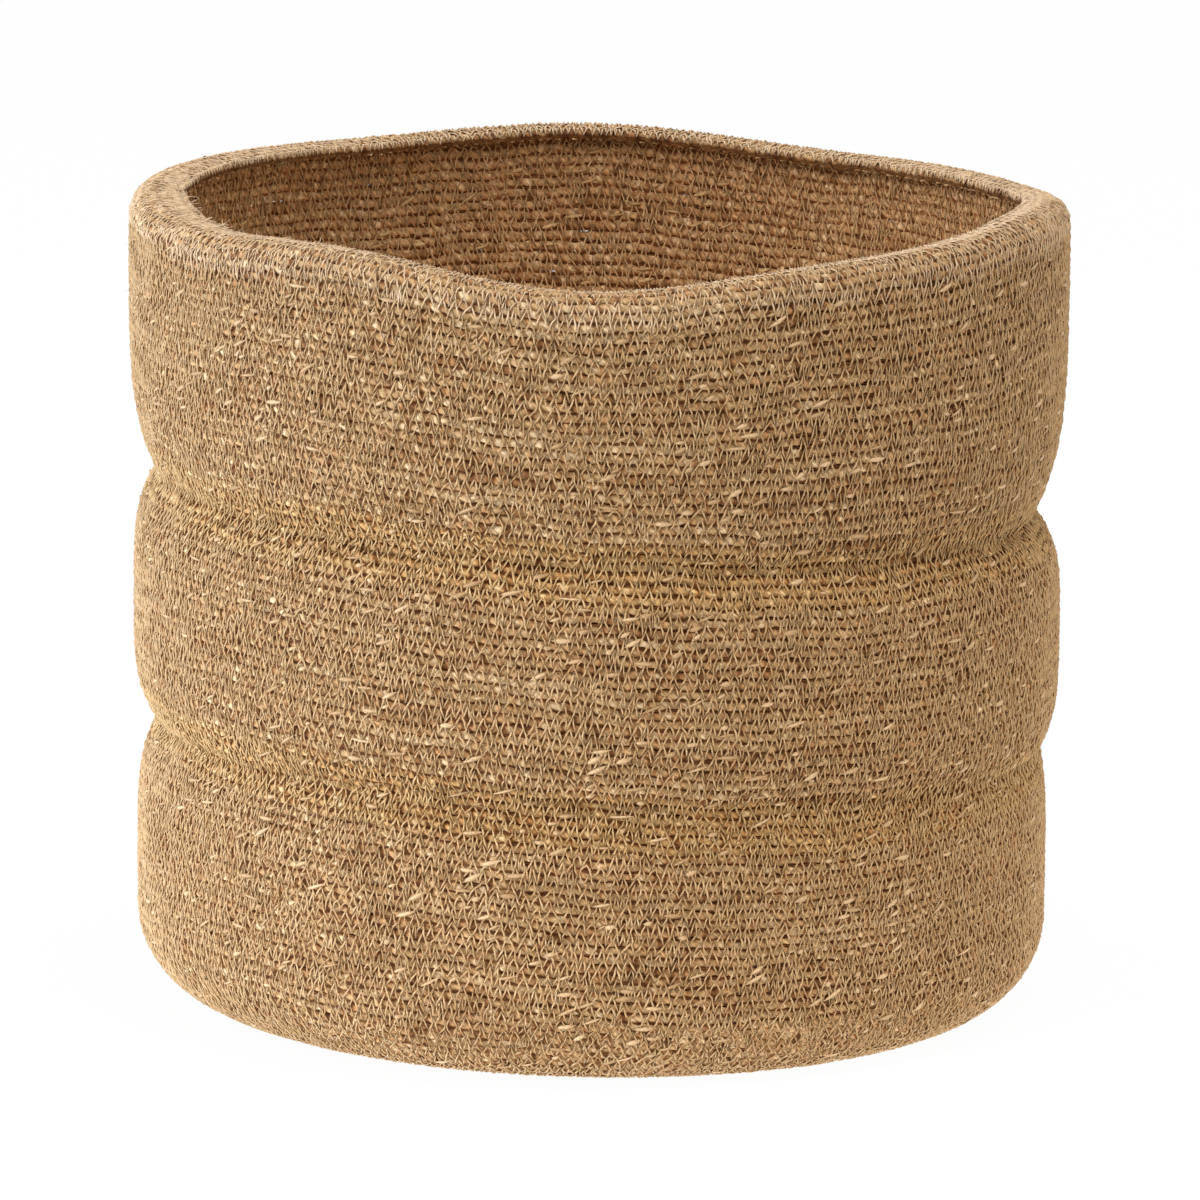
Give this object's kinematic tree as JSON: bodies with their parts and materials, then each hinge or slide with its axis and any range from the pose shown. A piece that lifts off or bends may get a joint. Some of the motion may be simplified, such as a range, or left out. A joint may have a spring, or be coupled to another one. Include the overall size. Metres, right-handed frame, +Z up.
{
  "type": "seagrass basket",
  "caption": "Round open basket coiled and sewn from thin seagrass cord, drawn in at waists between soft bellies, with a turned-in lip at the mouth.",
  "frame": {"origin": "middle of the flat underside, on the surface that the basket stands on", "axes": "+Z up through the mouth, +X to the right and -Y towards the viewer as pictured"},
  "size_m": [0.2818, 0.2794, 0.247],
  "materials": {
    "base_cord": "matte twisted seagrass cord",
    "wall_cord": "matte twisted seagrass cord",
    "waist_cord": "matte twisted seagrass cord under close stitching",
    "rim_cord": "matte pale seagrass cord"
  },
  "bodies": {
    "root": {"base_centre": "base_cord", "base_disc": "base_cord", "heel": "wall_cord", "lower_belly": "wall_cord", "lower_waist": "waist_cord", "middle_belly": "wall_cord", "upper_waist": "waist_cord", "upper_belly": "wall_cord", "rim_shoulder": "rim_cord", "rim_lip": "rim_cord"}
  },
  "joints": []
}
